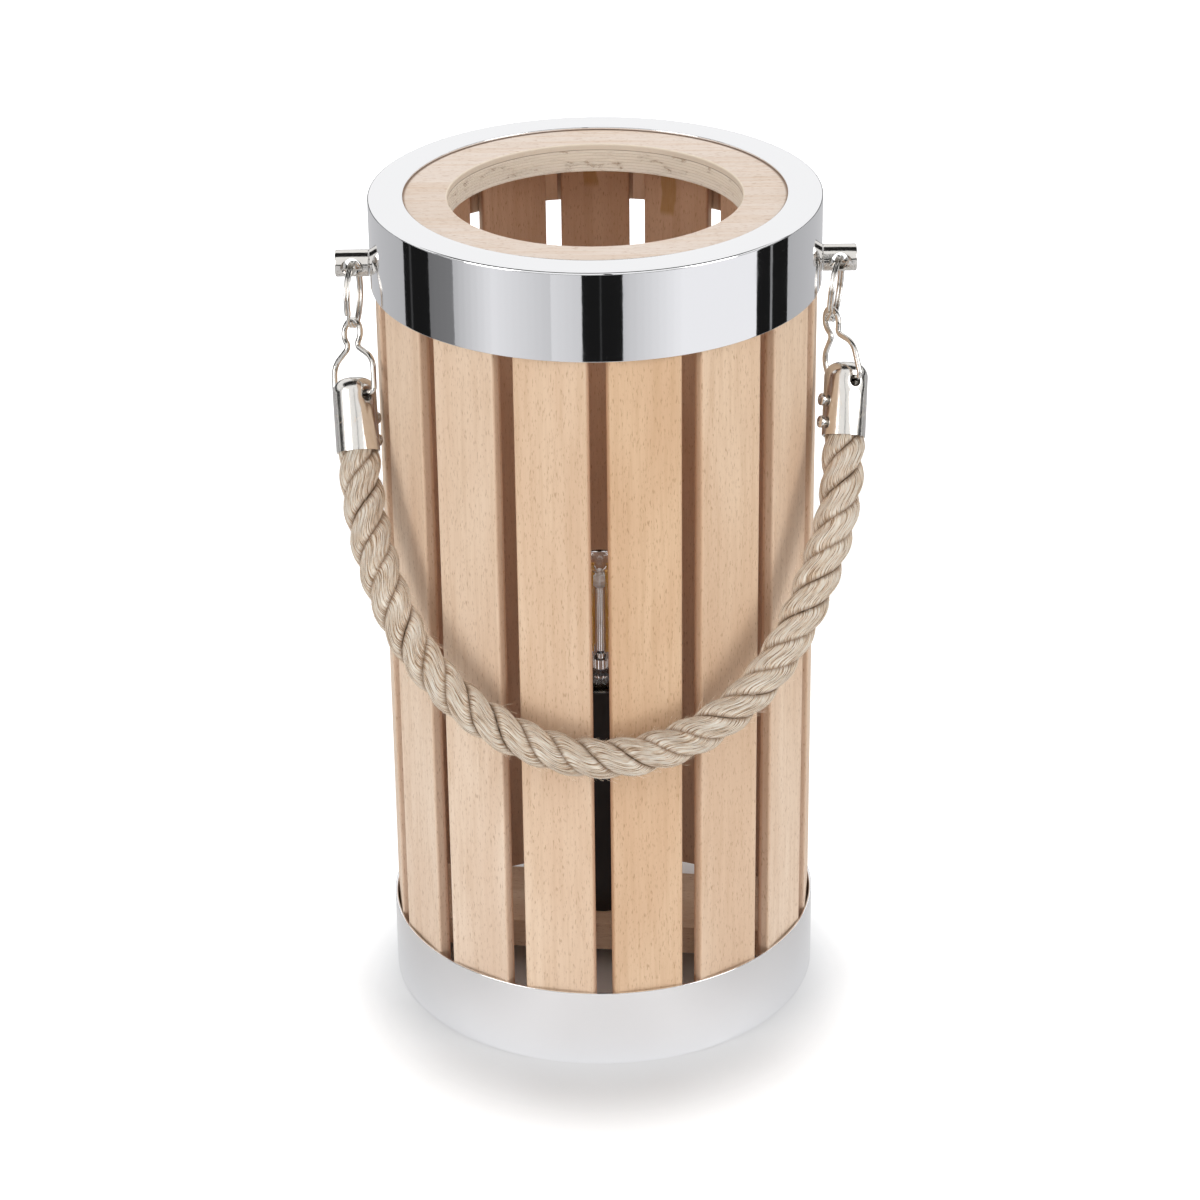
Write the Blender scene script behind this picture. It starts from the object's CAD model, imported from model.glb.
import math

import bmesh
import bpy
import numpy as np
from mathutils import Matrix, Vector


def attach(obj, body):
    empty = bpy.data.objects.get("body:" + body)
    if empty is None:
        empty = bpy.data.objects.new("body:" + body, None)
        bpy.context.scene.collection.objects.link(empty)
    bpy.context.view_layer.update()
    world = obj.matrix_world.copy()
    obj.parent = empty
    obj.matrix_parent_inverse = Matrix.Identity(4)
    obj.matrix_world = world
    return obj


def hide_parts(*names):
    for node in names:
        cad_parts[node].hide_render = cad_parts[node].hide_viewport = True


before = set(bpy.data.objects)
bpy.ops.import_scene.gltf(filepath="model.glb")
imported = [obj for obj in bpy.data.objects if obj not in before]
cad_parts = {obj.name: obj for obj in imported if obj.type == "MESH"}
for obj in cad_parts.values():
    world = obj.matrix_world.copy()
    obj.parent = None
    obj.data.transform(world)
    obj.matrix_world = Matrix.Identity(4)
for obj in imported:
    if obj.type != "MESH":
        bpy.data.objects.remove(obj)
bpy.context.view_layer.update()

# ---- Camera ----
# The photograph was taken from in front and above with a long lens, and is turned by under a
# degree, so that the lamp's right side stands a little higher in it.
view = bpy.data.objects.new("camera", bpy.data.cameras.new("camera"))
bpy.context.scene.collection.objects.link(view)
view.data.sensor_width = 36
view.data.lens = 108.75
camera_back, camera_up = 1.504, 0.936
view.matrix_world = (Matrix.Translation((0, -camera_back, camera_up))
                     @ Matrix.Rotation(math.radians(90 - 26.4), 4, "X")
                     @ Matrix.Rotation(math.radians(-0.69), 4, "Z"))
bpy.context.scene.camera = view
bpy.context.scene.view_settings.view_transform = "Standard"

# ---- Rope handle ----
# A jute rope of three strands, laid right-handed. It hangs from the two ferrules in one plane, which
# leans forward past the slats. Its route repeats the points of the CAD source: across, and down the plane.
rope_route = [
    (-0.1071, 0.053), (-0.1061, 0.0695), (-0.106, 0.071), (-0.1048, 0.085), (-0.102, 0.103), (-0.0975, 0.121),
    (-0.091, 0.139), (-0.082, 0.157), (-0.069, 0.174), (-0.052, 0.189), (-0.032, 0.2), (-0.01, 0.2065),
    (0.012, 0.2065), (0.034, 0.2005), (0.053, 0.19), (0.069, 0.176), (0.0815, 0.159), (0.0915, 0.14),
    (0.099, 0.121), (0.1045, 0.103), (0.1075, 0.085), (0.1085, 0.0675), (0.1086, 0.066), (0.1096, 0.049)]
handle_tilt = math.radians(30.9565)
handle_hinge = Vector((0, -0.0022292, 0.3433254))
handle_plane = Matrix.Translation(handle_hinge) @ Matrix.Rotation(-handle_tilt, 4, "X")


def smooth_path(corners, step):
    """Evenly spaced points on a smooth curve through the corners."""
    c = np.array([tuple(p) for p in corners], float)
    c = np.vstack([2 * c[0] - c[1], c, 2 * c[-1] - c[-2]])
    way = []
    for a, b, d, e in zip(c[:-3], c[1:-2], c[2:-1], c[3:]):
        k1, k2, k3 = (max(np.linalg.norm(q - p), 1e-9) ** 0.5 for p, q in ((a, b), (b, d), (d, e)))
        m1 = (d - b) + k2 * ((b - a) / k1 - (d - a) / (k1 + k2))
        m2 = (d - b) + k2 * ((e - d) / k3 - (e - b) / (k2 + k3))
        for t in np.linspace(0, 1, 24, endpoint=False):
            way.append((2 * t**3 - 3 * t**2 + 1) * b + (t**3 - 2 * t**2 + t) * m1
                       + (3 * t**2 - 2 * t**3) * d + (t**3 - t**2) * m2)
    way = np.array(way + [c[-2]])
    run = np.concatenate([[0], np.cumsum(np.linalg.norm(np.diff(way, axis=0), axis=1))])
    even = np.linspace(0, run[-1], max(2, round(run[-1] / step)) + 1)
    return np.stack([np.interp(even, run, way[:, k]) for k in range(3)], 1), even


def add_piece(name, points, faces, smooth=True, sharp=None):
    """A mesh object in the lamp's own frame."""
    mesh = bpy.data.meshes.new(name)
    mesh.from_pydata([tuple(p) for p in points], [], [tuple(f) for f in faces])
    mesh.validate()
    if smooth:
        mesh.shade_smooth()
    if sharp:
        mesh.set_sharp_from_angle(angle=math.radians(sharp))
    piece = bpy.data.objects.new(name, mesh)
    bpy.context.scene.collection.objects.link(piece)
    return piece


def mark(piece, name, kind, values):
    """Stores a number or a vector for each point of a piece."""
    store = piece.data.attributes.new(name, kind, "POINT").data
    store.foreach_set("vector" if kind == "FLOAT_VECTOR" else "value", np.array(values, float).ravel())


rope_r, strand_core, lay_length = 0.0090, 0.0031, 0.0448
lobe_edge = 59.4                # degrees either side of a strand's crown, where it meets its neighbours
squeezed, sunk, eases = 0.92, 0.016, 0.006      # the ferrule grips the rope's ends
lay_turn = 2 * math.pi / lay_length
rope_line, rope_run = smooth_path([handle_plane @ Vector((x, 0, -s)) for x, s in rope_route], 0.0008)
rope_out = np.array(handle_plane.to_3x3() @ Vector((0, 1, 0)))
rope_way = np.gradient(rope_line, axis=0)
rope_way /= np.linalg.norm(rope_way, axis=1)[:, None]
rope_in = np.cross(rope_out, rope_way)
outer = np.radians(np.linspace(-lobe_edge, lobe_edge, 33))
flank = np.radians([lobe_edge, 0, -lobe_edge])
points, lay, away, faces = [], [], [], []
for strand in range(3):
    first = len(points)
    for i, (centre, s) in enumerate(zip(rope_line, rope_run)):
        from_end = min(s, rope_run[-1] - s)
        grip = squeezed + (1 - squeezed) * min(1, max(0, (from_end - sunk) / eases))
        full = 1 + 0.07 * min(1, max(0, 1.5 - from_end / 0.1))      # the arms are fuller than the bow
        base = strand * 2 * math.pi / 3 + lay_turn * s + 0.05 * math.sin(31 * s + 2 * strand)
        swell = 1 + 0.018 * math.sin(97 * s + 2.1 * strand) + 0.012 * math.sin(211 * s + 4 * strand)
        for k, a in enumerate(np.concatenate([outer, flank])):
            if k < len(outer):
                lobe = rope_r - strand_core
                r = strand_core * math.cos(a) + math.sqrt(lobe**2 - (strand_core * math.sin(a)) ** 2)
                u = (a + 1.16 * lay_turn * s + 0.35 * math.sin(2 * a)) * rope_r
                r += 0.00007 * math.cos(2 * math.pi * u / 0.0016 + 3 * math.sin(60 * s + strand))
            else:
                r, u = (0.0042 if a else 0.0006), 0
            r *= grip * swell * full
            t = base + a
            points.append(centre + r * (math.cos(t) * rope_in[i] + math.sin(t) * rope_out))
            lay.append((u, s, abs(a) / math.radians(60) if k < len(outer) else 2))
            away.append(rope_way[i])
    n = len(outer) + len(flank)
    for i in range(len(rope_line) - 1):
        for k in range(n):
            a, b = first + i * n + k, first + i * n + (k + 1) % n
            faces.append((a, b, b + n, a + n))
    faces.append([first + k for k in range(n)][::-1])
    faces.append([first + (len(rope_line) - 1) * n + k for k in range(n)])
rope = add_piece("rope_strands", points, faces)
mark(rope, "lay", "FLOAT_VECTOR", lay)     # across and along a strand, and how near its groove
mark(rope, "run", "FLOAT_VECTOR", away)    # which way the rope goes


class Tone:
    """A socket of a material's nodes that takes part in sums."""

    def __init__(self, finish, socket):
        self.finish, self.socket = finish, socket

    def math(self, kind, *others):
        return self.finish.node("Math", {"operation": kind}, dict(enumerate((self,) + others)))

    def __add__(self, other):
        return self.math("ADD", other)

    def __sub__(self, other):
        return self.math("SUBTRACT", other)

    def __rsub__(self, other):
        return self.math("MULTIPLY_ADD", -1, other)

    def __mul__(self, other):
        return self.math("MULTIPLY", other)

    def __truediv__(self, other):
        return self.math("DIVIDE", other)

    def __neg__(self):
        return self * -1

    def step(self, low, high, to_low=0, to_high=1):
        """Rises smoothly from to_low to to_high as the number goes from low to high."""
        return self.finish.node("MapRange", {"interpolation_type": "SMOOTHSTEP"},
                                {0: self, 1: low, 2: high, 3: to_low, 4: to_high})

    __radd__ = __add__
    __rmul__ = __mul__


class Finish:
    """One material. Its parts are added by node(), and shown() names what its surface uses."""

    def __init__(self, name):
        self.material = bpy.data.materials.new(name)
        self.material.use_nodes = True
        self.tree = self.material.node_tree
        self.tree.nodes.clear()
        self.surface = self.tree.nodes.new("ShaderNodeBsdfPrincipled")
        end = self.tree.nodes.new("ShaderNodeOutputMaterial")
        self.tree.links.new(self.surface.outputs[0], end.inputs[0])

    def put(self, socket, value):
        if isinstance(value, Tone):
            self.tree.links.new(value.socket, socket)
        elif socket.type == "RGBA" and len(value) == 3:
            socket.default_value = (*value, 1)
        else:
            socket.default_value = value

    def node(self, kind, settings=None, values=None, out=0):
        made = self.tree.nodes.new("ShaderNode" + kind)
        for key, value in (settings or {}).items():
            if key == "stops":
                ramp = made.color_ramp.elements
                while len(ramp) < len(value):
                    ramp.new(0.5)
                for stop, (place, colour) in zip(ramp, value):
                    stop.position, stop.color = place, (*colour, 1)
            else:
                setattr(made, key, value)
        for key, value in (values or {}).items():
            self.put(made.inputs[key], value)
        return Tone(self, made.outputs[out])

    def shown(self, **values):
        for key, value in values.items():
            self.put(self.surface.inputs[key.replace("_", " ")], value)
        return self.material

    def place(self):
        """Object coordinates as three numbers."""
        where = self.node("TexCoord", out="Object")
        return [self.node("SeparateXYZ", {}, {0: where}, out=k) for k in range(3)]

    def spot(self, x, y, z=0):
        """Three numbers as one place."""
        return self.node("CombineXYZ", {}, {0: x, 1: y, 2: z})

    def noise(self, where, scale=1, detail=3, roughness=0.55, distortion=0):
        return self.node("TexNoise", {}, {"Vector": where, "Scale": scale, "Detail": detail,
                                          "Roughness": roughness, "Distortion": distortion})

    def mix(self, share, a, b, kind="MIX"):
        return self.node("Mix", {"data_type": "RGBA", "blend_type": kind}, {0: share, 6: a, 7: b}, out=2)

    def bump(self, height, depth, strength):
        return self.node("Bump", {}, {"Height": height, "Distance": depth, "Strength": strength})


jute = Finish("jute_rope")
lay_of = jute.node("Attribute", {"attribute_name": "lay"}, out="Vector")
across, along, groove = (jute.node("SeparateXYZ", {}, {0: lay_of}, out=k) for k in range(3))
fibre = jute.noise(jute.spot(across * 2600, along * 110, groove * 0.7), detail=4, roughness=0.75)
thread = jute.noise(jute.spot(across * 1400, along * 75), detail=3, roughness=0.7)
yarn = thread.step(0.33, 0.6)
patch = jute.noise(jute.spot(across * 160, along * 60), detail=2)
tone = jute.node("ValToRGB", {"stops": [(0.34, (0.36, 0.215, 0.12)), (0.43, (0.78, 0.57, 0.39)),
                                        (0.53, (0.96, 0.78, 0.60)), (0.68, (1.0, 0.93, 0.82))]},
                 {0: fibre * 0.5 + yarn * 0.4 + 0.05})
tone = jute.mix(patch.step(0.35, 0.7, 0, 0.3), tone, (0.88, 0.79, 0.68), "MULTIPLY")
tone = jute.mix((groove + fibre * 0.3 - yarn * 0.1).step(0.72, 1.12, 0, 0.9), tone, (0.36, 0.22, 0.13))
rope.data.materials.append(jute.shown(
    Base_Color=tone, Roughness=0.9, Sheen_Weight=0.25, Sheen_Tint=(1.0, 0.80, 0.60),
    Normal=jute.bump(fibre * 0.5 + yarn * 0.9, 0.0009, 0.8)))


class Grower:
    """A tree of Geometry Nodes that builds like pieces on a base and hands back one plain mesh."""

    def __init__(self, name, **sizes):
        self.tree = bpy.data.node_groups.new(name, "GeometryNodeTree")
        self.tree.interface.new_socket("Base", in_out="INPUT", socket_type="NodeSocketGeometry")
        self.sizes = sizes
        for key in sizes:
            self.tree.interface.new_socket(key, in_out="INPUT", socket_type="NodeSocketFloat")
        self.tree.interface.new_socket("Result", in_out="OUTPUT", socket_type="NodeSocketGeometry")
        self.given = self.tree.nodes.new("NodeGroupInput")

    def size(self, key):
        return self.given.outputs[key]

    def node(self, kind, settings=None, values=None, out=0):
        made = self.tree.nodes.new(kind)
        for key, value in (settings or {}).items():
            setattr(made, key, value)
        for key, value in (values or {}).items():
            if isinstance(value, bpy.types.NodeSocket):
                self.tree.links.new(value, made.inputs[key])
            else:
                made.inputs[key].default_value = value
        return made.outputs[out]

    def chance(self, low, high, seed):
        """A random number for each place."""
        return self.node("FunctionNodeRandomValue", {"data_type": "FLOAT"},
                         {2: low, 3: high, "Seed": seed}, out=1)

    def grow(self, base, name, material, grown):
        """Makes what was grown on the base a mesh object of its own."""
        real = self.node("GeometryNodeRealizeInstances", {}, {0: grown})
        real = self.node("GeometryNodeSetMaterial", {}, {0: real, "Material": material})
        result = self.tree.nodes.new("NodeGroupOutput")
        self.tree.links.new(real, result.inputs[0])
        work = bpy.data.objects.new(name + "_base", base.data)
        bpy.context.scene.collection.objects.link(work)
        tool = work.modifiers.new(name, "NODES")
        tool.node_group = self.tree
        for item in self.tree.interface.items_tree:
            if item.in_out == "INPUT" and item.name in self.sizes:
                tool[item.identifier] = self.sizes[item.name]
        seen = work.evaluated_get(bpy.context.evaluated_depsgraph_get())
        mesh = bpy.data.meshes.new_from_object(seen)
        work.modifiers.remove(tool)
        bpy.data.objects.remove(work)
        mesh.name = name
        piece = bpy.data.objects.new(name, mesh)
        bpy.context.scene.collection.objects.link(piece)
        return piece


fluff = Grower("rope_fibres", Density=150000.0, Thickness=0.00005)
lay_at = fluff.node("GeometryNodeInputNamedAttribute", {"data_type": "FLOAT_VECTOR"}, {"Name": "lay"})
run_at = fluff.node("GeometryNodeInputNamedAttribute", {"data_type": "FLOAT_VECTOR"}, {"Name": "run"})
edge = fluff.node("ShaderNodeSeparateXYZ", {}, {0: lay_at}, out=2)
shows = fluff.node("FunctionNodeCompare", {"operation": "LESS_THAN", "data_type": "FLOAT"}, {0: edge, 1: 1.5})
roots = fluff.node("GeometryNodeDistributePointsOnFaces", {"distribute_method": "RANDOM"},
                   {"Mesh": fluff.size("Base"), "Selection": shows, "Density": fluff.size("Density"),
                    "Seed": 7})
turned = fluff.node("FunctionNodeAlignRotationToVector", {"axis": "Z"},
                    {"Vector": roots.node.outputs["Normal"]})
turned = fluff.node("FunctionNodeAlignRotationToVector", {"axis": "X", "pivot_axis": "Z"},
                    {"Rotation": turned, "Vector": run_at})
stray = fluff.node("FunctionNodeAxisAngleToRotation", {},
                   {"Axis": (0, 0, 1), "Angle": fluff.chance(-0.8, 0.8, 11)})
turned = fluff.node("FunctionNodeRotateRotation", {"rotation_space": "LOCAL"}, {0: turned, 1: stray})
lift = fluff.node("FunctionNodeAxisAngleToRotation", {},
                  {"Axis": (0, 1, 0), "Angle": fluff.chance(-0.5, 0.02, 12)})
turned = fluff.node("FunctionNodeRotateRotation", {"rotation_space": "LOCAL"}, {0: turned, 1: lift})
hair = fluff.node("GeometryNodeCurveQuadraticBezier", {},
                  {"Resolution": 3, "Start": (0, 0, -0.0002), "Middle": (0.0019, 0.0003, 0.0007),
                   "End": (0.0042, -0.0006, 0.0004)})
section = fluff.node("GeometryNodeCurvePrimitiveCircle", {},
                     {"Resolution": 3, "Radius": fluff.size("Thickness")})
hair = fluff.node("GeometryNodeCurveToMesh", {}, {"Curve": hair, "Profile Curve": section})
long = fluff.node("ShaderNodeMath", {"operation": "POWER"}, {0: fluff.chance(0.35, 1.15, 13), 1: 2.0})
grown = fluff.node("GeometryNodeInstanceOnPoints", {},
                   {"Points": roots, "Instance": hair, "Rotation": turned,
                    "Scale": fluff.node("ShaderNodeCombineXYZ", {}, {0: long, 1: long, 2: long})})
hairs = Finish("jute_fibre")
tint = hairs.noise(hairs.node("TexCoord", out="Object"), 900, 1)
hairs.shown(Base_Color=hairs.mix(tint.step(0.35, 0.65), (0.80, 0.57, 0.37), (1.0, 0.89, 0.75)),
            Roughness=0.85)
fibres = fluff.grow(rope, "rope_fibres", hairs.material, grown)
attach(rope, "handle")
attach(fibres, "handle")
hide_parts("rope")

# ---- Floor, backdrop and light ----
# A white sweep under two large soft boxes at the sides, one above and behind, one over the camera and a
# low card in front. A dark studio and boards on the floor show only as reflections in bright metal.
floor = add_piece("floor", [(-2.6, -2.6, 0), (2.6, -2.6, 0), (2.6, 3.4, 0), (-2.6, 3.4, 0)], [(0, 1, 2, 3)])
sweep = Finish("white_sweep")
rays = sweep.tree.nodes.new("ShaderNodeLightPath")
x, y, z = sweep.place()
around = (x * x + (y + 0.03) * (y + 0.03)).math("SQRT")
seen = Tone(sweep, rays.outputs["Is Camera Ray"]) + Tone(sweep, rays.outputs["Is Transmission Ray"])
glossy = Tone(sweep, rays.outputs["Is Glossy Ray"])
aside = x.math("ABSOLUTE").step(0.045, 0.145)
# The camera sees it white, apart from the lamp's shadow; the lower band mirrors it duller to its sides.
mirrored = glossy * around.step(0.7, 0.3) * (0.38 - aside * 0.3)
white = seen.math("MINIMUM", 1) * around.step(0.085, 0.14) + mirrored
glow = sweep.mix(white.math("MINIMUM", 1), (0, 0, 0), (0.45, 0.45, 0.45))
sweep.shown(Base_Color=sweep.mix(glossy * aside * 0.2, (0.8, 0.8, 0.803), (0, 0, 0)),
            Roughness=1.0, Specular_IOR_Level=0.0, Emission_Strength=1.0,
            Emission_Color=sweep.mix(seen * around.step(0.4, 1.3), glow, (1, 1, 1)))
floor.data.materials.append(sweep.material)

world = bpy.data.worlds.new("studio")
bpy.context.scene.world = world
world.use_nodes = True
sky = world.node_tree
sky.nodes.clear()
path = sky.nodes.new("ShaderNodeLightPath")
dim, bright = sky.nodes.new("ShaderNodeBackground"), sky.nodes.new("ShaderNodeBackground")
dim.inputs[0].default_value, dim.inputs[1].default_value = (0.97, 0.985, 1, 1), 0.38
bright.inputs[0].default_value, bright.inputs[1].default_value = (1, 1, 1, 1), 1.0
shows_white = path.outputs["Is Camera Ray"]
for kind in ("Is Glossy Ray", "Is Transmission Ray"):
    either = sky.nodes.new("ShaderNodeMath")
    either.operation = "MAXIMUM"
    sky.links.new(shows_white, either.inputs[0])
    sky.links.new(path.outputs[kind], either.inputs[1])
    shows_white = either.outputs[0]
blend = sky.nodes.new("ShaderNodeMixShader")
for place, socket in zip(blend.inputs, (shows_white, dim.outputs[0], bright.outputs[0])):
    sky.links.new(socket, place)
sky.links.new(blend.outputs[0], sky.nodes.new("ShaderNodeOutputWorld").inputs[0])


def soft_box(name, place, aim, wide, high, radiance, tint=(1, 1, 1)):
    """A rectangular soft light of one even brightness."""
    lamp = bpy.data.lights.new(name, "AREA")
    lamp.shape, lamp.size, lamp.size_y, lamp.color = "RECTANGLE", wide, high, tint
    lamp.energy = radiance * math.pi * wide * high
    box = bpy.data.objects.new(name, lamp)
    bpy.context.scene.collection.objects.link(box)
    box.location = place
    box.rotation_euler = (Vector(aim) - Vector(place)).to_track_quat("-Z", "Y").to_euler()
    return box


warm = (1, 0.985, 0.975)
soft_box("left_box", (-1.5, -1.15, 0.85), (0, 0, 0.2), 0.9, 1.3, 3.6, warm)
soft_box("right_box", (1.6, -1.0, 0.9), (0, 0, 0.2), 0.9, 1.3, 3.6, warm)
over_back = soft_box("top_box", (0, 0.9, 1.9), (0, 0, 0.2), 2.2, 1.4, 2.25)
over_camera = soft_box("front_box", (0, -1.3, 2.0), (0, 0, 0.3), 1.6, 1.0, 1.1)
low_card = soft_box("low_card", (0, -0.65, 0.035), (0, 0, 0.1), 1.4, 0.07, 2.3)
low_card.visible_camera = False
for unseen in (over_back, over_camera, low_card):
    unseen.visible_glossy = False

# Past the lights the studio is dark: a strip of ceiling, the foot of the walls and three stands. They draw
# the thin dark lines in the rounded metal.
wall_r, wall_low, wall_high, stand_high = 3, 0.15, 0.8, 4
walls = [(a, a + 15, wall_low, wall_high) for a in range(0, 360, 15)]
stands = [(a, a + 4, wall_high, stand_high) for a in (4, -85, 105)]
points = [(-3, -0.7, 3), (3, -0.7, 3), (3, 1.5, 3), (-3, 1.5, 3)]
for left, right, foot, top in walls + stands:
    for turn, up in ((left, foot), (right, foot), (right, top), (left, top)):
        a = math.radians(turn)
        points.append((wall_r * math.sin(a), -wall_r * math.cos(a), up))
dark_studio = add_piece("dark_studio", points, [range(k, k + 4) for k in range(0, len(points), 4)],
                        smooth=False)
# Boards lie on the floor in front of the lamp, out of the picture, and the bands mirror them: three dark
# ones, three thin laths on those, a grey one, and pale ones whose shade falls off to one side. Each is
# given by the azimuths on the band between which it shows, in degrees, and by its shades at those ends.
boards = [(-82, -55, 0.6, 0.47), (-55, -45, 0.01, 0.01), (-45, -37, 0.17, 0.2), (-37, -26, 0.5, 0.83),
          (-26, -11, 0.83, 0.62), (-11, -3.5, 0.75, 0.65), (-3.5, 6.3, 0.01, 0.01), (6.3, 21, 0.6, 0.93),
          (21, 42.7, 0.93, 0.93), (42.7, 54.8, 0.01, 0.01), (54.8, 82, 0.46, 0.6),
          (-52.4, -51.6, 0.05, 0.05), (0.8, 1.2, 0.04, 0.04), (47.6, 48.4, 0.25, 0.25)]
band_r, board_near, board_far = 0.1, 0.42, 2.2
points, shades, faces = [], [], []
for left, right, left_shade, right_shade in boards:
    parts = math.ceil((right - left) / 2)
    lies_at = 0.003 if right - left < 1 else 0.002
    for k in range(parts + 1):
        a = math.radians(left + (right - left) * k / parts)
        start = Vector((band_r * math.sin(a), -band_r * math.cos(a), lies_at))
        way = 2 * a + math.atan2(start.x, camera_back + start.y)
        points += [start + far * Vector((math.sin(way), -math.cos(way), 0))
                   for far in (board_near, board_far)]
        shades += [left_shade + (right_shade - left_shade) * k / parts] * 2
        if k:
            n = len(points)
            faces.append((n - 4, n - 3, n - 1, n - 2))
set_boards = add_piece("set_boards", points, faces, smooth=False)
mark(set_boards, "shade", "FLOAT", shades)
for card in (dark_studio, set_boards):
    paint = Finish(card.name)
    glow = (0.02, 0.02, 0.02)
    if card is set_boards:
        shade = paint.node("Attribute", {"attribute_name": "shade"}, out="Fac")
        glow = paint.mix(shade, (0, 0, 0), (1, 1, 1.02))
    card.data.materials.append(paint.shown(Base_Color=(0, 0, 0), Roughness=1.0, Specular_IOR_Level=0.0,
                                           Emission_Strength=1.0, Emission_Color=glow))
    card.visible_camera = card.visible_diffuse = card.visible_shadow = card.visible_transmission = False

# ---- Bands ----
# Two rings of polished stainless sheet. The upper one is an upright skirt with a flat flange turned in
# over the wood; the lower one is a plain hoop that the slats stand in.


def turned_piece(name, outline, steps=288, sharp=40):
    """A closed outline of (radius, height) points turned once round the lamp's axis."""
    n = len(outline)
    points = [(r * math.cos(a), r * math.sin(a), z)
              for a in np.linspace(0, 2 * math.pi, steps, endpoint=False) for r, z in outline]
    faces = [(i * n + k, (i + 1) % steps * n + k, (i + 1) % steps * n + (k + 1) % n, i * n + (k + 1) % n)
             for i in range(steps) for k in range(n)]
    return add_piece(name, points, faces, sharp=sharp)


def round_corner(r, z, radius, start, end, count):
    """Points on a quarter bend round (r, z)."""
    return [(r + radius * math.cos(a), z + radius * math.sin(a))
            for a in np.radians(np.linspace(start, end, count))]


cage_r, sheet, cage_h, skirt_low, hoop_h = 0.1, 0.0012, 0.39, 0.35, 0.038
flange_r, flange_wide = 0.0845, 0.0155
crown, eased = 0.001, 0.0003            # the skirt's rolled top edge, and the cut edges
inner_r = cage_r - sheet
top_band = turned_piece("polished_top_band", (
    round_corner(cage_r - crown, cage_h - crown, crown, 0, 90, 9)
    + [(0.0995 - flange_wide * k / 4, cage_h) for k in range(1, 4)]
    + round_corner(flange_r + eased, cage_h - eased, eased, 90, 180, 4)
    + round_corner(flange_r + eased, cage_h - sheet + eased, eased, 180, 270, 4)
    + [(inner_r - 0.0004, cage_h - sheet), (inner_r, cage_h - sheet - 0.0004), (inner_r, skirt_low + eased)]
    + round_corner(cage_r - eased, skirt_low + eased, eased, 270, 360, 4)
    + [(cage_r, z) for z in (0.35045, 0.36, 0.37, 0.38, 0.3888)]))
bottom_band = turned_piece("polished_bottom_band", (
    round_corner(cage_r - eased, hoop_h - eased, eased, 0, 90, 4)
    + round_corner(inner_r + eased, hoop_h - eased, eased, 90, 180, 4)
    + round_corner(inner_r + eased, eased, eased, 180, 270, 4)
    + round_corner(cage_r - eased, eased, eased, 270, 360, 4)
    + [(cage_r, z) for z in (0.00045, 0.01, 0.02, 0.03, 0.03755)]))
for band, name in ((top_band, "top_band"), (bottom_band, "bottom_band")):
    steel = Finish("polished_" + name)
    x, y, z = steel.place()
    where = steel.node("TexCoord", out="Object")
    smear = steel.noise(where, 22, 4, 0.6)
    speck = steel.noise(where, 2600, 1)
    dust = speck.step(0.74, 0.80) * steel.noise(where, 60, 2).step(0.5, 0.62)
    wipe = steel.noise(steel.spot(y.math("ARCTAN2", x) * 40, z * 900), 1, 3)
    steel.shown(Base_Color=steel.mix(dust, (0.875, 0.877, 0.89), (0.8, 0.8, 0.8)), Metallic=1.0,
                Roughness=smear.step(0.4, 0.75, 0.035, 0.075) + dust * 0.3,
                Normal=steel.bump(wipe * 0.2 + smear, 0.0002, 0.12))
    band.data.materials.append(steel.material)
    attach(band, "cage")
    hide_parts(name)

# ---- Beech slats ----
# Fifteen planed, unvarnished beech slats with eased edges, glued round the inside of the bands. The grain
# runs upright, with the short dark flecks of beech, and glue has run down inside at the top.


def beech(finish, across, along, depth, seed, light=(0.825, 0.645, 0.485), dark=(0.735, 0.535, 0.38)):
    """The colour, roughness and normal of planed beech, from places in metres; seed differs by plank."""
    broad = finish.noise(finish.spot(across * 45 + seed * 13, along * 7 + seed * 31, depth * 45),
                         1, 3, 0.5, 0.4)
    streak = finish.noise(finish.spot(across * 420 + seed * 7, along * 16, depth * 420), 1, 3, 0.6)
    fine = finish.noise(finish.spot(across * 2600, along * 90 + seed * 5, depth * 2600), 1, 2)
    fleck = finish.noise(finish.spot(across * 1900 + seed * 3, along * 330 + seed * 9, depth * 1900),
                         1, 2, 0.5).step(0.57, 0.72)
    tone = finish.mix(broad.step(0.3, 0.72), light, dark)
    tone = finish.mix(streak.step(0.4, 0.72, 0, 0.42), tone, (0.64, 0.44, 0.285))
    tone = finish.mix(fine.step(0.5, 0.8, 0, 0.18), tone, (0.55, 0.38, 0.24))
    tone = finish.mix(fleck * 0.6, tone, (0.45, 0.27, 0.155))
    relief = fine * 0.5 + streak * 0.4 - fleck * 0.8
    return tone, fine.step(0.2, 0.8, 0.52, 0.66), finish.bump(relief, 0.00012, 0.6)


def dress(name, material):
    """Gives a CAD node its finish."""
    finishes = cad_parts[name].data.materials
    finishes.clear()
    finishes.append(material)


slat_count = 15
slat_wood = Finish("slat_beech")
x, y, z = slat_wood.place()
turn = x.math("ARCTAN2", -y)
slat_no = (turn * (slat_count / (2 * math.pi)) + 0.5).math("ROUND")
own = turn - (slat_no - 0.5) * (2 * math.pi / slat_count)
reach = (x * x + y * y).math("SQRT")
across = reach * own.math("SINE")
depth = reach * own.math("COSINE")
slat_no = slat_no + slat_no.math("LESS_THAN", -6.5) * slat_count     # the rear slat is met from both sides
inner_face = reach.step(0.0955, 0.0945)
chance = slat_wood.node("TexWhiteNoise", {"noise_dimensions": "1D"}, {"W": slat_no + 40.3})
tone, rough, normal = beech(slat_wood, across, z, depth, chance * 10)
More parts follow.
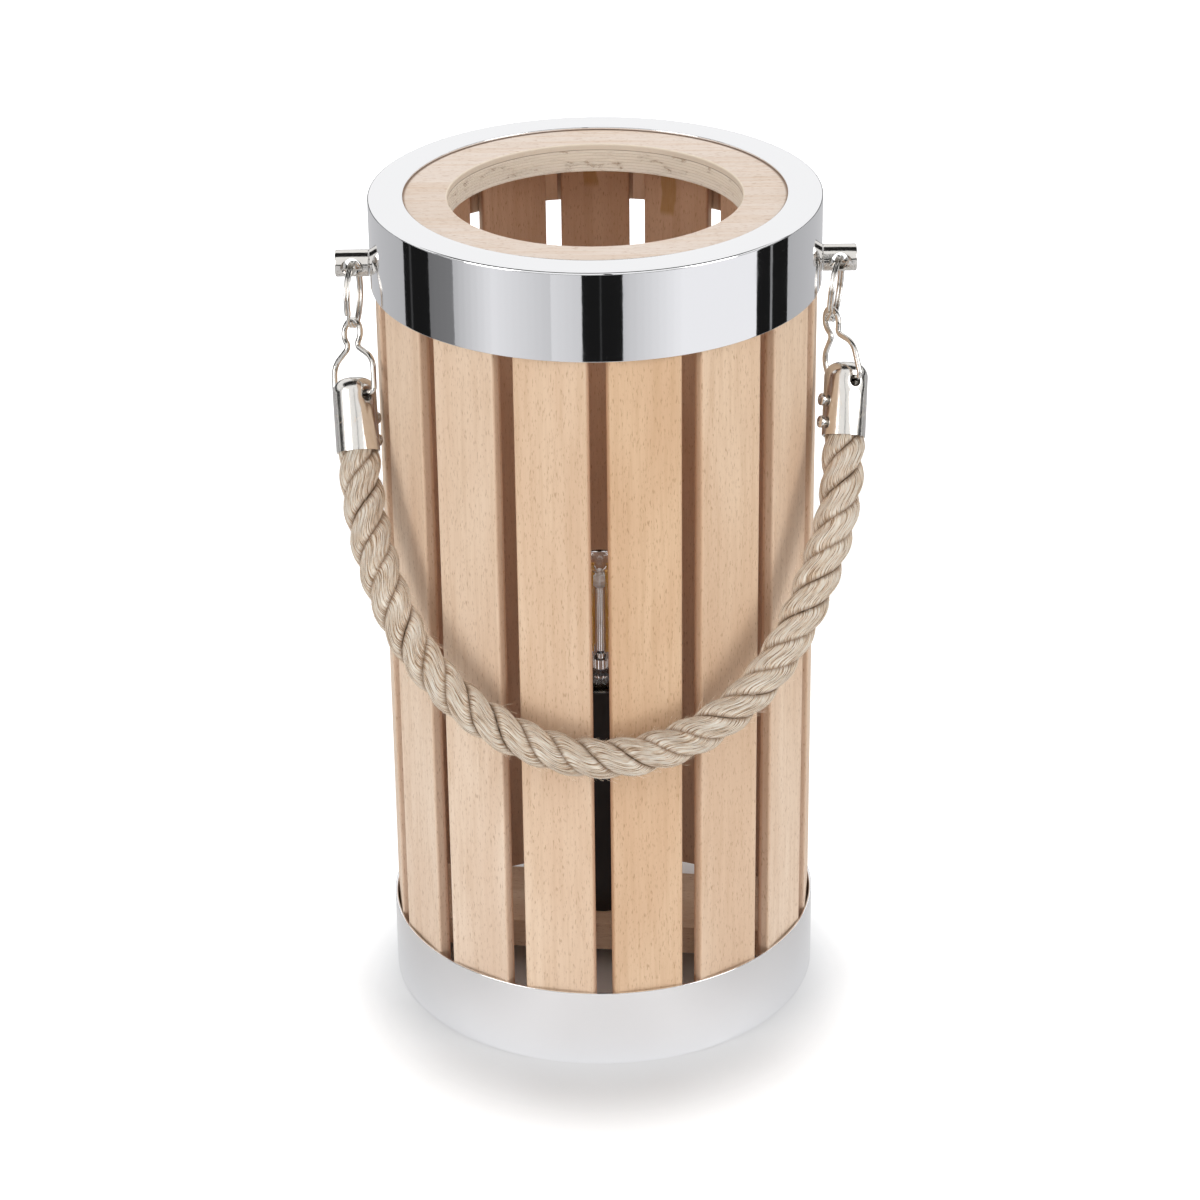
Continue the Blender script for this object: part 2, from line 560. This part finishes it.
# One slat right of the middle is warmer. All are paler towards the foot, and browner inside and on the edges.
warmth = ((slat_no - 0.9).math("ABSOLUTE") * -0.6 + 1).math("MAXIMUM", 0) + chance * 0.2
tone = slat_wood.mix(warmth.math("MINIMUM", 1), tone, (0.89, 0.79, 0.665), "MULTIPLY")
tone = slat_wood.mix(z.step(0.3, 0.03), tone, (1.06, 1.10, 1.165), "MULTIPLY")
tone = slat_wood.mix(inner_face, tone, (0.88, 0.76, 0.70), "MULTIPLY")
side = across.math("ABSOLUTE").step(0.0153, 0.01595)
tone = slat_wood.mix(side * 0.4, tone, (0.72, 0.58, 0.50), "MULTIPLY")
# Two runs of glue below the wooden ring, on the inside at the back.
run_down = slat_wood.noise(slat_wood.spot(x * 60, y * 60, z * 40), 1, 2) * 0.006
drip, drip_wide = 0, 0.0036
for at, low in ((0.034, 0.345), (-0.0013, 0.3575)):
    near = ((x - at + run_down - 0.003) / drip_wide).math("ABSOLUTE").step(1, 0.7)
    drip = near * z.step(low, low + 0.004) * y.step(0.05, 0.06) * inner_face + drip
tone = slat_wood.mix(drip.math("MINIMUM", 1) * 0.85, tone, (0.50, 0.28, 0.11))
slat_wood.shown(Base_Color=tone, Roughness=rough - drip * 0.3, Normal=normal, Specular_IOR_Level=0.35)
for number in range(1, slat_count + 1):
    dress(f"slat_{number:02d}", slat_wood.material)

# ---- Wooden ring round the mouth ----
# A beech facing with an eased edge, glued on a hoop of plywood whose bored edge was left rough: its
# veneers show, with torn patches and a few splinters along the lower edge.
facing_wood = Finish("facing_beech")
x, y, z = facing_wood.place()
tone, rough, normal = beech(facing_wood, y, x, z, 3.7, (0.77, 0.665, 0.585), (0.72, 0.605, 0.515))
reach = (x * x + y * y).math("SQRT")
lip = reach.step(0.0658, 0.0652)
joint = z.step(0.38618, 0.38595) * reach.step(0.0655, 0.0652)
under_flange = reach.step(0.0832, 0.0842)
tone = facing_wood.mix(lip * 0.8, tone, (0.86, 0.745, 0.60))
tone = facing_wood.mix(joint * 0.75, tone, (0.25, 0.15, 0.085))
tone = facing_wood.mix(under_flange * 0.8, tone, (0.22, 0.13, 0.08))
facing_wood.shown(Base_Color=tone, Roughness=rough, Normal=normal, Specular_IOR_Level=0.35)
dress("facing_ring", facing_wood.material)

ply_wood = Finish("plywood_edge")
veneer_thick = 0.0014
x, y, z = ply_wood.place()
turn = y.math("ARCTAN2", x)
wander = ply_wood.noise(ply_wood.spot(turn * 4, 0), 1, 3) * 0.0009
layer = (z + wander) * (1 / veneer_thick)
veneer = layer.math("FRACT")
which = ply_wood.node("TexWhiteNoise", {"noise_dimensions": "1D"}, {"W": layer.math("FLOOR")})
grain = ply_wood.noise(ply_wood.spot(turn * 60, z * 2400), 1, 4, 0.7)
torn = ply_wood.noise(ply_wood.spot(turn * 7, z * 260), 1, 5, 0.7)
tone = ply_wood.mix(which, (1.0, 0.90, 0.77), (0.97, 0.85, 0.70))
tone = ply_wood.mix(grain.step(0.45, 0.75, 0, 0.4), tone, (0.88, 0.72, 0.55))
tone = ply_wood.mix(veneer.step(0.86, 0.97, 0, 0.5), tone, (0.55, 0.38, 0.22))
tone = ply_wood.mix(torn.step(0.58, 0.68, 0, 0.8), tone, (0.46, 0.29, 0.16))
relief = grain * 0.5 + veneer.step(0.8, 1) * -0.6 - torn.step(0.5, 0.7)
ply_wood.shown(Base_Color=tone, Roughness=0.85, Normal=ply_wood.bump(relief, 0.0006, 0.8))
dress("plywood_hoop", ply_wood.material)

# ---- Crossbar and lampholder ----
# A beech plank screwed between the slats carries a threaded tube with nuts and washers, the black
# lampholder body with its brass parts, and the plain black candle sleeve over them.
bar_wood = Finish("bar_beech")
x, y, z = bar_wood.place()
tone, rough, normal = beech(bar_wood, y + x * 0.105, x - y * 0.105, z, 8.1)
bar_wood.shown(Base_Color=tone, Roughness=rough, Normal=normal, Specular_IOR_Level=0.35)


def metal(name, colour, rough):
    """Plain or plated metal with faint scratches and uneven gloss."""
    finish = Finish(name)
    where = finish.node("TexCoord", out="Object")
    cloud = finish.noise(where, 260, 4, 0.65)
    scratch = finish.noise(where, 2080, 2)
    dull = finish.mix(cloud.step(0.45, 0.8, 0, 0.5), colour, tuple(0.82 * c for c in colour))
    return finish.shown(Base_Color=dull, Metallic=1.0, Roughness=cloud.step(0.35, 0.7, rough, rough + 0.06),
                        Normal=finish.bump(scratch, 0.0001, 0.15))


def moulded(name, colour, rough):
    """Plastic or glaze with a fine orange-peel."""
    finish = Finish(name)
    where = finish.node("TexCoord", out="Object")
    peel = finish.noise(where, 900, 2)
    cloud = finish.noise(where, 80, 3)
    paler = tuple(min(1, 1.25 * c + 0.003) for c in colour)
    return finish.shown(Base_Color=finish.mix(cloud.step(0.3, 0.7), colour, paler),
                        Roughness=cloud.step(0.3, 0.7, rough, rough + 0.08),
                        Normal=finish.bump(peel, 0.00005, 0.4))


zinc = metal("zinc_plate", (0.60, 0.60, 0.585), 0.28)
brass = metal("stamped_brass", (0.74, 0.52, 0.22), 0.25)
for name, material in {
        "crossbar": bar_wood.material, "crossbar_screws": zinc, "holder_tube": zinc, "holder_nuts": zinc,
        "holder_washers": zinc, "post_washers": zinc, "post_nut_left": zinc, "post_nut_right": zinc,
        "cord_gland": moulded("black_nylon", (0.012, 0.012, 0.012), 0.45),
        "socket_body": moulded("black_thermoset", (0.012, 0.012, 0.013), 0.32),
        "candle_sleeve": moulded("black_sleeve", (0.007, 0.007, 0.008), 0.4),
        "socket_shell": brass, "socket_contact": brass, "terminal_screws": brass,
        "bulb_cap": metal("cap_nickel", (0.66, 0.64, 0.60), 0.22),
        "bulb_contact": metal("solder", (0.55, 0.54, 0.52), 0.4),
        "bulb_insulator": moulded("black_insulator", (0.012, 0.012, 0.014), 0.2),
        "bulb_driver": moulded("driver_board", (0.02, 0.11, 0.05), 0.35),
        "filament_support": moulded("milky_bead", (0.93, 0.93, 0.92), 0.25),
        "filament_wires": metal("lead_wire", (0.62, 0.60, 0.57), 0.2)}.items():
    dress(name, material)

# ---- Bulb ----
# A clear candle bulb: blown glass drawn to a tip, a glass stem with a bead, and four straight filaments
# coated with amber phosphor.
glass = Finish("clear_glass")
glass.shown(Base_Color=(0.985, 0.99, 0.99), Roughness=0.0, IOR=1.46, Transmission_Weight=1.0)
bulb_z, bulb_len, cap_len, neck_low = 0.1165, 0.098, 0.027, 0.0225      # heights over the bulb's foot
glass_neck, half_wide, glass_wall = 0.0085 - 0.0004 - 0.00005, 0.0175, 0.0008    # the neck stands in the cap
belly = 0.38                            # share of the height at which the glass is widest


def glass_radius(t):
    """The glass's radius at a share of its height: a round shoulder, then a long pointed top."""
    if t < belly:
        return glass_neck + (half_wide - glass_neck) * math.sin(math.radians(90 * t / belly))
    fall = math.radians(90 * ((t - belly) / (1 - belly)) ** 1.7)
    return half_wide * math.sqrt(max(0, math.cos(fall)))


steps = [0.5 - 0.5 * math.cos(math.pi * k / 60) for k in range(61)]
shoulder, rise = bulb_z + cap_len, bulb_len - cap_len
outside = [(max(glass_radius(t), 1e-5), shoulder + rise * t) for t in steps]
inside = [(max(glass_radius(t) - glass_wall, 1e-5), shoulder + (rise - glass_wall) * t) for t in steps]
bulb = turned_piece("blown_bulb", [(glass_neck, bulb_z + neck_low)] + outside + inside[::-1]
                    + [(glass_neck - glass_wall, bulb_z + neck_low)], steps=96, sharp=60)
bulb.data.materials.append(glass.material)
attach(bulb, "bulb")
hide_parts("bulb_glass")
dress("bulb_stem", glass.material)
amber = Finish("amber_phosphor")
lump = amber.noise(amber.node("TexCoord", out="Object"), 1500, 2)
amber.shown(Base_Color=amber.mix(lump.step(0.35, 0.7), (0.80, 0.40, 0.07), (0.86, 0.52, 0.14)),
            Roughness=0.42, Normal=amber.bump(lump, 0.0002, 0.5))
dress("filaments", amber.material)

# ---- Posts ----
# Two turned, nickel-plated posts stand out of the upper band, each with a chamfered cross hole that its
# split ring hangs in. The plating is worn and pitted underneath.


def settled(name, body):
    """A finished bmesh as an object."""
    mesh = bpy.data.meshes.new(name)
    body.to_mesh(mesh)
    body.free()
    piece = bpy.data.objects.new(name, mesh)
    bpy.context.scene.collection.objects.link(piece)
    return piece


def cut_away(piece, tools):
    """Takes the tools' shapes out of a piece for good, and shades it with crisp edges."""
    for tool in tools:
        cut = piece.modifiers.new("cut", "BOOLEAN")
        cut.operation, cut.solver, cut.object = "DIFFERENCE", "EXACT", tool
        mesh = bpy.data.meshes.new_from_object(piece.evaluated_get(bpy.context.evaluated_depsgraph_get()))
        piece.modifiers.remove(cut)
        piece.data = mesh
        bpy.data.objects.remove(tool)
    piece.data.shade_smooth()
    piece.data.set_sharp_from_angle(angle=math.radians(32))


def spindle(name, outline, matrix, steps=96):
    """An outline of (radius, height) points from pole to pole, turned round local Z."""
    body = bmesh.new()
    rings = []
    for r, h in outline:
        if r < 1e-7:
            rings.append([body.verts.new((0, 0, h))])
        else:
            rings.append([body.verts.new((r * math.cos(a), r * math.sin(a), h))
                          for a in np.linspace(0, 2 * math.pi, steps, endpoint=False)])
    for low, high in zip(rings, rings[1:]):
        for k in range(steps):
            corners = [low[k % len(low)], low[(k + 1) % len(low)],
                       high[(k + 1) % len(high)], high[k % len(high)]]
            body.faces.new(list(dict.fromkeys(corners)))
    bmesh.ops.recalc_face_normals(body, faces=body.faces)
    body.transform(matrix)
    return settled(name, body)


def nickel(name, rough, pits=0.0):
    """Polished nickel plate: warm grey, with hairlines, and pits where the part was never buffed."""
    finish = Finish(name)
    where = finish.node("TexCoord", out="Object")
    cloud = finish.noise(where, 160, 3, 0.6)
    hair = finish.noise(where, 3000, 2)
    rough_at = cloud.step(0.35, 0.75, rough, rough + 0.06)
    height = hair * 0.25 + cloud
    colour = finish.mix(cloud.step(0.3, 0.8, 0, 0.4), (0.78, 0.755, 0.72), (0.68, 0.655, 0.62))
    if pits:
        faces_up = finish.node("SeparateXYZ", {}, {0: finish.node("NewGeometry", out="Normal")}, out=2)
        under = faces_up.step(0.15, -0.25)
        pit = finish.noise(where, 1700, 3, 0.7)
        rough_at = rough_at + under * pit.step(0.4, 0.7, 0.12, 0.32)
        colour = finish.mix(under * pit.step(0.45, 0.7) * pits, colour, (0.30, 0.27, 0.24))
        height = height + under * pit * 1.6
    return finish.shown(Base_Color=colour, Metallic=1.0, Roughness=rough_at,
                        Normal=finish.bump(height, 0.00012, 0.35))


post_z, post_x, eye_x = 0.3574, 0.1003, 0.1078      # the posts' axis, where the heads start, the cross holes
shank_x, shank_r, post_r, hole_r, mouth_r = 0.0804, 0.0025, 0.006, 0.0039, 0.0056
for side, word in ((-1, "left"), (1, "right")):
    lie = (Matrix.Translation((0, 0, post_z)) @ Matrix.Rotation(0 if side > 0 else math.pi, 4, "Z")
           @ Matrix.Rotation(math.pi / 2, 4, "Y"))
    post = spindle("turned_post_" + word, [
        (0, shank_x), (0.0022, shank_x), (shank_r, shank_x + 0.0003), (shank_r, post_x),
        (0.0057, post_x), (post_r, post_x + 0.0003), (post_r, post_x + 0.0075), (post_r, post_x + 0.0145),
        (0.00588, post_x + 0.0148), (0.0055, post_x + 0.015), (0, post_x + 0.015)], lie)
    through = Matrix.Translation((side * eye_x, 0, post_z)) @ Matrix.Rotation(math.pi / 2, 4, "X")
    bore = spindle("bore", [
        (0, -0.008), (mouth_r, -0.008), (mouth_r, -0.0066), (hole_r, -0.0049), (hole_r, 0.0049),
        (mouth_r, 0.0066), (mouth_r, 0.008), (0, 0.008)], through)
    cut_away(post, [bore])
    post.data.materials.clear()
    post.data.materials.append(nickel("post_nickel_" + word, 0.1, 0.8))
    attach(post, "post_turn_" + word)
    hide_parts("post_" + word)

# ---- Split rings ----
# Each ring is two turns of spring wire side by side. On its far side the wire steps across from one turn
# to the other, beside its two cut ends.


def wire_piece(name, line, radius, sides=20, ends=0.0003):
    """A round wire along a line of points, with softly rounded ends."""
    line = np.array(line, float)
    way = np.gradient(line, axis=0)
    way /= np.linalg.norm(way, axis=1)[:, None]
    across = np.cross(way[0], (0.3, 0.5, 0.8))
    across /= np.linalg.norm(across)
    points, faces = [], []
    for i, centre in enumerate(line):
        across = across - way[i] * np.dot(across, way[i])
        across /= np.linalg.norm(across)
        other = np.cross(way[i], across)
        points += [centre + radius * (math.cos(a) * across + math.sin(a) * other)
                   for a in np.linspace(0, 2 * math.pi, sides, endpoint=False)]
    for i in range(len(line) - 1):
        near, far = i * sides, (i + 1) * sides
        faces += [(near + k, near + (k + 1) % sides, far + (k + 1) % sides, far + k) for k in range(sides)]
    last = (len(line) - 1) * sides
    for start, step, turn in ((0, -1, 1), (last, 1, -1)):
        tip = len(points)
        centre, out = line[0 if step < 0 else -1], way[0 if step < 0 else -1] * step
        points += [centre + 0.75 * (points[start + k] - centre) + ends * out for k in range(sides)]
        faces += [(start + k, start + (k + 1) % sides, tip + (k + 1) % sides, tip + k)[::-turn]
                  for k in range(sides)]
        faces.append([tip + k for k in range(sides)][::-turn])
    return add_piece(name, points, faces, sharp=50)


ring_r, ring_half, ring_wire = 0.01425, 0.0007, 0.00073
ring_tilt = math.radians(9)                             # forwards of plumb
ring_turns = {"left": (-8.5, 0), "right": (-12, 6)}     # each one's turn and sideways lean, in degrees
for side, word, step_at in ((-1, "left", 235), (1, "right", 225)):
    turn, lean = (math.radians(v) for v in ring_turns[word])
    hang = (Matrix.Translation((side * eye_x, 0, post_z)) @ Matrix.Rotation(-ring_tilt, 4, "X")
            @ Matrix.Rotation(lean, 4, "Y") @ Matrix.Rotation(turn, 4, "Z"))
    line = []
    for a in np.arange(8, 360 * 2 - 8, 2.5):
        shift = min(1, max(0, (a - 346) / 28))          # steps over from one turn to the other
        shift = shift * shift * (3 - 2 * shift) * 2 - 1
        angle = math.radians(a + step_at)
        line.append(hang @ Vector((shift * ring_half, ring_r * math.sin(angle),
                                   -ring_r + ring_r * math.cos(angle))))
    ring = wire_piece("split_ring_wire_" + word, line, ring_wire)
    ring.data.materials.append(nickel("ring_nickel_" + word, 0.15))
    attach(ring, "ring_" + word)
    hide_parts("split_ring_" + word)

# ---- Shackles ----
# One bent wire on each side: a round loop over the split ring, a narrow neck, sloping shoulders, and two
# legs whose ends turn in through the ferrule's holes.
loop_r, neck_half, neck_drop, shoulder_r, end_r = 0.0058, 0.0037, 0.0054, 0.008, 0.0022
shackle_len, leg_x, slope, shackle_wire = 0.0338, 0.014, math.radians(58), 0.00125
cup_r = 0.0097                          # the ferrule, which the wire's ends reach into by 3 mm
tip_x = cup_r - 0.003
loop_z = shackle_len - loop_r
neck_z = loop_z - neck_drop
neck_r = (neck_half**2 + neck_drop**2 - loop_r**2) / (2 * (loop_r - neck_half))
neck_x = neck_half + neck_r
opening = math.atan2(neck_drop, neck_x)
slope_z = neck_z - neck_r * math.sin(slope)
slope_len = (leg_x - neck_half - (neck_r + shoulder_r) * (1 - math.cos(slope))) / math.sin(slope)
leg_z = slope_z - slope_len * math.cos(slope) - shoulder_r * math.sin(slope)


def arc(x, z, r, start, end, count):
    """Points on a bend of the wire round (x, z)."""
    return [(x + r * math.cos(a), z + r * math.sin(a)) for a in np.linspace(start, end, count)]


half_form = (arc(0, loop_z, loop_r, math.pi / 2, -opening, 20)
             + arc(neck_x, neck_z, neck_r, math.pi - opening, math.pi + slope, 16)[1:]
             + arc(leg_x - shoulder_r, leg_z, shoulder_r, slope, 0, 12)
             + [(leg_x, leg_z + (end_r - leg_z) * k / 5) for k in range(1, 5)]
             + arc(leg_x - end_r, end_r, end_r, 0, -math.pi / 2, 10)
             + [((leg_x - end_r) + (tip_x - leg_x + end_r) * k / 4, 0) for k in range(1, 5)])
shackle_form = [(-x, z) for x, z in half_form[::-1]] + half_form[1:]
swing = handle_tilt - ring_tilt


def shackle_place(side, word, side_gap, drop_gap, pin_x):
    """How far down the handle's plane the pin's middle is, and the shackle's lean there."""
    a, b = (math.radians(v) for v in ring_turns[word])
    hook_x = side * eye_x + ring_r * (math.sin(swing) * math.sin(a) * math.cos(b)
                                      - (1 + math.cos(swing)) * math.sin(b))
    hook_s = ring_r * (math.sin(swing) ** 2 * math.cos(a)
                       + math.cos(swing) * (math.sin(swing) * math.sin(a) * math.sin(b)
                                            + (1 + math.cos(swing)) * math.cos(b) - 1))
    x, s = hook_x + side_gap, hook_s + drop_gap
    reach = shackle_len - loop_r
    return s + math.sqrt(reach**2 - (pin_x - x) ** 2), math.asin((x - pin_x) / reach)


ferrule_at = {}
for side, word, side_gap, drop_gap, pin_x, turn, play in (
        (-1, "left", 0.00015, 0.003, -0.1075, -48.5, 0.001), (1, "right", 0.0005, 0.0006, 0.11, -65.5, 0.0)):
    pin_s, tilt = shackle_place(side, word, side_gap, drop_gap, pin_x)
    at_pin = handle_plane @ Matrix.Translation((pin_x, 0, -pin_s))
    hang = at_pin @ Matrix.Rotation(tilt, 4, "Y") @ Matrix.Rotation(math.radians(turn), 4, "Z")
    even, _ = smooth_path([(x, 0, z) for x, z in shackle_form], 0.0006)
    shackle = wire_piece("shackle_wire_" + word, [hang @ Vector(p) for p in even], shackle_wire, 24, 0.0004)
    shackle.data.materials.append(nickel("shackle_nickel_" + word, 0.14))
    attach(shackle, "handle")
    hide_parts("shackle_" + word)
    ferrule_at[word] = (at_pin @ Matrix.Translation((0, 0, -play))
                        @ Matrix.Rotation(side * math.radians(3.5), 4, "Y")
                        @ Matrix.Rotation(math.radians(turn), 4, "Z"))

# ---- Ferrules ----
# Drawn and plated cups, closed over the rope's ends. Each cross hole sits in a pressed hollow that runs
# out down the wall, and two pan-head screws hold the rope.
cup_len, cup_wall, cup_dome, cup_drop, pin_hole_r = 0.033, 0.0009, 0.0065, 0.0088, 0.0027


def cup_outline(r, top, low, dome):
    """From the axis over the dome and down the wall."""
    flat = [(r - dome) * k / 4 for k in range(1, 4)]
    return ([(f, top) for f in flat] + [(r - dome + dome * math.sin(a), top - dome + dome * math.cos(a))
            for a in np.linspace(0, math.pi / 2, 22)]
            + [(r, top - dome + (low - top + dome) * k / 60) for k in range(1, 61)])


def pressed(r, angle, height):
    """How far the wall is pressed in at a place: a hollow 1 mm deep round each cross hole, and under it a
    shallower channel that runs out down the wall."""
    depth = 0
    for hole in (0, math.pi):
        off = r * ((angle - hole + math.pi) % (2 * math.pi) - math.pi)
        round_hole = math.exp(-((off / 0.0040) ** 2 + (height / 0.0046) ** 2))
        fall = min(1, max(0, -height / 0.003)) * min(1, max(0, (height + 0.0215) / 0.014))
        channel = math.exp(-((off / 0.0024) ** 2)) * fall
        depth = max(depth, 0.0010 * round_hole, 0.00055 * channel)
    return depth


for side, word in ((-1, "left"), (1, "right")):
    top, low, steps = cup_drop, cup_drop - cup_len, 160
    skin = cup_outline(cup_r, top, low, cup_dome)
    lining = cup_outline(cup_r - cup_wall, top - cup_wall, low, cup_dome - cup_wall)[::-1]
    body = bmesh.new()
    rings = []
    for r, h in skin + lining:
        rings.append([])
        for a in np.linspace(0, 2 * math.pi, steps, endpoint=False):
            inward = r - (pressed(cup_r, a, h) if r > 0.0055 else 0)
            rings[-1].append(body.verts.new((inward * math.cos(a), inward * math.sin(a), h)))
    for first, second in zip(rings, rings[1:]):
        for k in range(steps):
            body.faces.new((first[k], first[(k + 1) % steps], second[(k + 1) % steps], second[k]))
    body.faces.new(rings[0])
    body.faces.new(rings[-1])
    bmesh.ops.recalc_face_normals(body, faces=body.faces)
    cup = settled("drawn_ferrule_" + word, body)
    drill = spindle("drill", [(0, -0.02), (pin_hole_r, -0.02), (pin_hole_r, 0.02), (0, 0.02)],
                    Matrix.Rotation(math.pi / 2, 4, "Y"), 48)
    cut_away(cup, [drill])
    cup.data.transform(ferrule_at[word])
    cup.data.materials.clear()
    cup.data.materials.append(nickel("ferrule_nickel_" + word, 0.15))
    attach(cup, "handle")
    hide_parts("ferrule_" + word)

# The screws: one pan head with a cross recess, set four times, each turned differently.
head_r, head_low, head_top = 0.00275, 0.0119, 0.0129
screw = spindle("screw", [
    (0, 0.0086), (0.0015, 0.0086), (0.0015, 0.0110), (0.00262, 0.0110), (head_r, 0.01113), (head_r, head_low)]
    + [(head_r * math.cos(a), head_low + 0.001 * math.sin(a)) for a in np.linspace(0.15, 1.45, 9)]
    + [(0, head_top)], Matrix.Identity(4), 48)
slots = []
for wide, high in ((0.0032, 0.0007), (0.0007, 0.0032)):
    body = bmesh.new()
    bmesh.ops.create_cube(body, size=1)
    body.transform(Matrix.Translation((0, 0, head_top)) @ Matrix.Diagonal((wide, high, 0.0014, 1)))
    slots.append(settled("slot", body))
cut_away(screw, slots)
seats = [ferrule_at[word] @ Matrix.Translation((0, 0, cup_drop - s))
         @ Matrix.Rotation(side * math.pi / 2, 4, "X")
         for side, word in ((-1, "left"), (1, "right")) for s in (0.0175, 0.0274)]
turns = [tuple((m @ Matrix.Rotation(0.5 + k, 4, "Z")).to_euler()) for k, m in enumerate(seats)]
seat_mesh = add_piece("screw_seats", [m.translation for m in seats], [])
mark(seat_mesh, "turn", "FLOAT_VECTOR", turns)
driver = Grower("ferrule_screws", Size=1.0)
turn_at = driver.node("GeometryNodeInputNamedAttribute", {"data_type": "FLOAT_VECTOR"}, {"Name": "turn"})
model = driver.node("GeometryNodeObjectInfo", {}, {"Object": screw}, out="Geometry")
turn_at = driver.node("FunctionNodeEulerToRotation", {}, {0: turn_at})
placed = driver.node("GeometryNodeInstanceOnPoints", {},
                     {"Points": driver.node("GeometryNodeMeshToPoints", {}, {0: driver.size("Base")}),
                      "Instance": model, "Rotation": turn_at, "Scale": driver.size("Size")})
heads = driver.grow(seat_mesh, "pan_head_screws", nickel("screw_nickel", 0.12), placed)
bpy.data.objects.remove(seat_mesh)
bpy.data.objects.remove(screw)
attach(heads, "handle")
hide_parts("ferrule_screws")
